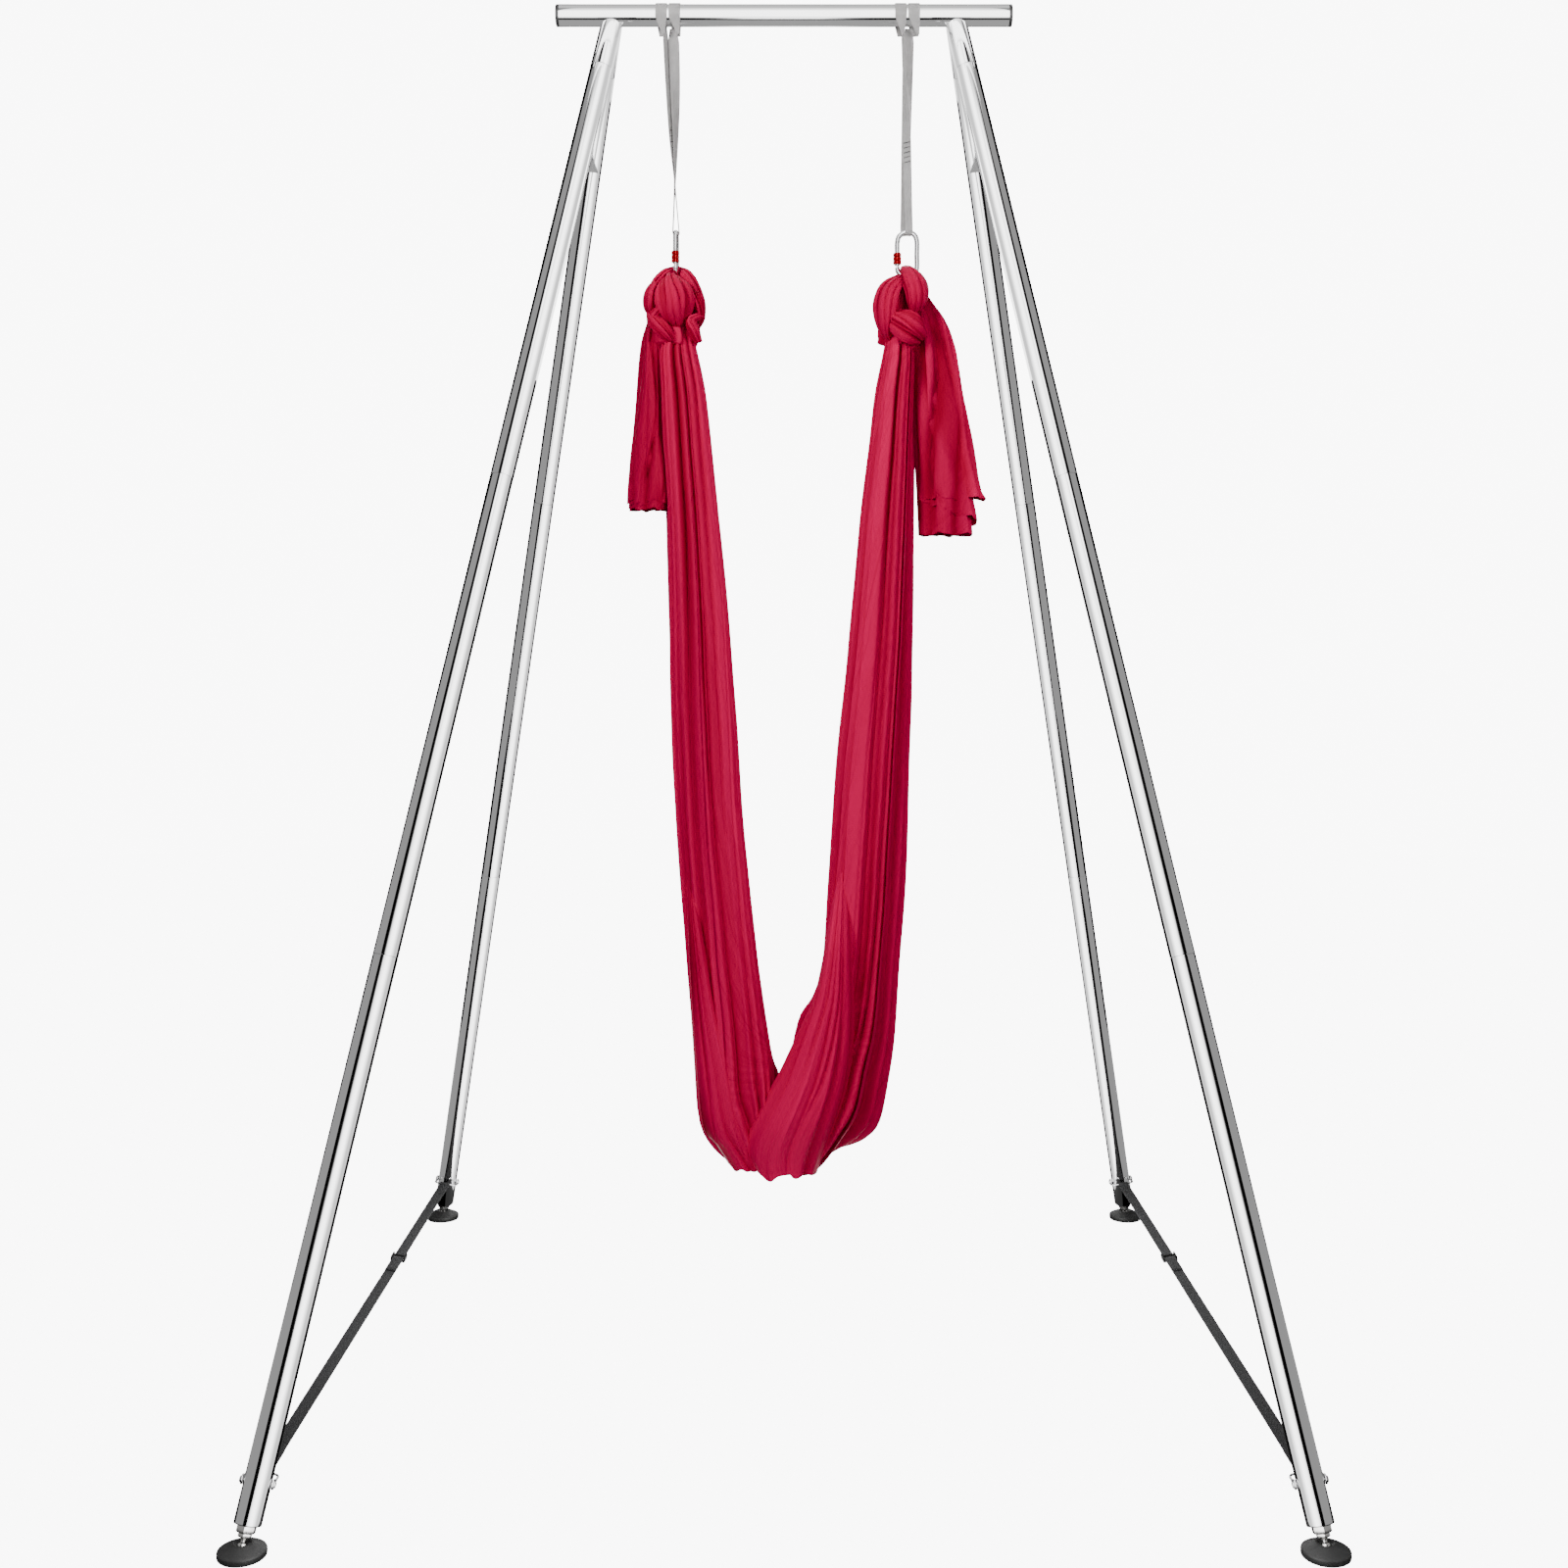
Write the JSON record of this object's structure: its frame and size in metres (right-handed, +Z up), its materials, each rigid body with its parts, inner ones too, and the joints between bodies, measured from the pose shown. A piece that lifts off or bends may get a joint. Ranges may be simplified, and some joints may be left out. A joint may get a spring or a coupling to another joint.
{
  "type": "aerial rig",
  "caption": "Freestanding splayed-leg steel rig whose crossbar carries webbing slings, screw-gate carabiners and a knotted silk hammock; strapped legs stand on levelling feet.",
  "frame": {"origin": "On the floor, below the middle of the rig", "axes": "+Z up, +X along the crossbar to the right seen from the front, the front towards -Y"},
  "size_m": [1.922, 1.884, 2.9529],
  "materials": {
    "steel_tube": "Bright polished steel tube",
    "polished_hardware": "Polished steel",
    "zinc_hardware": "Bright zinc-plated steel",
    "black_plastic": "Black moulded plastic",
    "rubber": "Black rubber",
    "black_webbing": "Black woven webbing",
    "grey_webbing": "Light grey woven webbing",
    "red_anodised": "Red anodised, knurled",
    "silk": "Crimson stretch knit cloth with a soft sheen"
  },
  "bodies": {
    "rig": {"crossbar": "steel_tube", "end_cap_left": "black_plastic", "end_cap_right": "black_plastic", "stub_front_left": "steel_tube", "leg_front_left_upper": "steel_tube", "leg_front_left_middle": "steel_tube", "leg_front_left_lower": "steel_tube", "foot_insert_front_left": "zinc_hardware", "jam_nut_front_left": "zinc_hardware", "bail_pin_front_left": "polished_hardware", "bail_front_left": "polished_hardware", "stub_front_right": "steel_tube", "leg_front_right_upper": "steel_tube", "leg_front_right_middle": "steel_tube", "leg_front_right_lower": "steel_tube", "foot_insert_front_right": "zinc_hardware", "jam_nut_front_right": "zinc_hardware", "bail_pin_front_right": "polished_hardware", "bail_front_right": "polished_hardware", "stub_rear_left": "steel_tube", "leg_rear_left_upper": "steel_tube", "leg_rear_left_middle": "steel_tube", "leg_rear_left_lower": "steel_tube", "foot_insert_rear_left": "zinc_hardware", "jam_nut_rear_left": "zinc_hardware", "bail_pin_rear_left": "polished_hardware", "bail_rear_left": "polished_hardware", "stub_rear_right": "steel_tube", "leg_rear_right_upper": "steel_tube", "leg_rear_right_middle": "steel_tube", "leg_rear_right_lower": "steel_tube", "foot_insert_rear_right": "zinc_hardware", "jam_nut_rear_right": "zinc_hardware", "bail_pin_rear_right": "polished_hardware", "bail_rear_right": "polished_hardware", "strap_left": "black_webbing", "buckle_left": "black_plastic", "strap_right": "black_webbing", "buckle_right": "black_plastic"},
    "hammock": {"sling_left": "grey_webbing", "carabiner_left": "polished_hardware", "silk_knot_left": "silk", "silk_tail_left": "silk", "sling_right": "grey_webbing", "carabiner_right": "polished_hardware", "silk_knot_right": "silk", "silk_tail_right": "silk", "silk_hammock": "silk"},
    "gate_left": {"gate_left": "polished_hardware"},
    "sleeve_left": {"screw_sleeve_left": "red_anodised"},
    "gate_right": {"gate_right": "polished_hardware"},
    "sleeve_right": {"screw_sleeve_right": "red_anodised"},
    "stud_front_left": {"foot_stud_front_left": "zinc_hardware"},
    "pad_front_left": {"foot_pad_front_left": "rubber"},
    "stud_front_right": {"foot_stud_front_right": "zinc_hardware"},
    "pad_front_right": {"foot_pad_front_right": "rubber"},
    "stud_rear_left": {"foot_stud_rear_left": "zinc_hardware"},
    "pad_rear_left": {"foot_pad_rear_left": "rubber"},
    "stud_rear_right": {"foot_stud_rear_right": "zinc_hardware"},
    "pad_rear_right": {"foot_pad_rear_right": "rubber"}
  },
  "joints": [
    {"name": "hammock_swing", "type": "hinge", "parent": "rig", "child": "hammock", "pos_m": [0, 0, 2.926], "axis": [1, 0, 0], "range_deg": [-45, 45]},
    {"name": "gate_open_left", "type": "hinge", "parent": "hammock", "child": "gate_left", "pos_m": [-0.237, -0.0215, 2.37], "axis": [-1, 0, 0], "range_deg": [0, 22], "stiffness_Nm_per_rad": 0.1, "springref_deg": -17.19},
    {"name": "sleeve_screw_left", "type": "slide", "parent": "gate_left", "child": "sleeve_left", "axis": [0, 0, 1], "range_m": [0, 0.011]},
    {"name": "gate_open_right", "type": "hinge", "parent": "hammock", "child": "gate_right", "pos_m": [0.2485, 0, 2.37], "axis": [0, 1, 0], "range_deg": [0, 22], "stiffness_Nm_per_rad": 0.1, "springref_deg": -17.19},
    {"name": "sleeve_screw_right", "type": "slide", "parent": "gate_right", "child": "sleeve_right", "axis": [0, 0, 1], "range_m": [0, 0.011]},
    {"name": "foot_height_front_left", "type": "slide", "parent": "rig", "child": "stud_front_left", "axis": [-0.1757, -0.2934, -0.9397], "range_m": [-0.001, 0.022]},
    {"name": "pad_tilt_front_left", "type": "hinge", "parent": "stud_front_left", "child": "pad_front_left", "pos_m": [-0.919, -0.9, 0.016], "axis": [0.8579, -0.5138, 0], "range_deg": [-20, 5]},
    {"name": "foot_height_front_right", "type": "slide", "parent": "rig", "child": "stud_front_right", "axis": [0.1757, -0.2934, -0.9397], "range_m": [-0.001, 0.022]},
    {"name": "pad_tilt_front_right", "type": "hinge", "parent": "stud_front_right", "child": "pad_front_right", "pos_m": [0.919, -0.9, 0.016], "axis": [0.8579, 0.5138, 0], "range_deg": [-20, 5]},
    {"name": "foot_height_rear_left", "type": "slide", "parent": "rig", "child": "stud_rear_left", "axis": [-0.1757, 0.2934, -0.9397], "range_m": [-0.001, 0.022]},
    {"name": "pad_tilt_rear_left", "type": "hinge", "parent": "stud_rear_left", "child": "pad_rear_left", "pos_m": [-0.919, 0.9, 0.016], "axis": [-0.8579, -0.5138, 0], "range_deg": [-20, 5]},
    {"name": "foot_height_rear_right", "type": "slide", "parent": "rig", "child": "stud_rear_right", "axis": [0.1757, 0.2934, -0.9397], "range_m": [-0.001, 0.022]},
    {"name": "pad_tilt_rear_right", "type": "hinge", "parent": "stud_rear_right", "child": "pad_rear_right", "pos_m": [0.919, 0.9, 0.016], "axis": [-0.8579, 0.5138, 0], "range_deg": [-20, 5]}
  ]
}
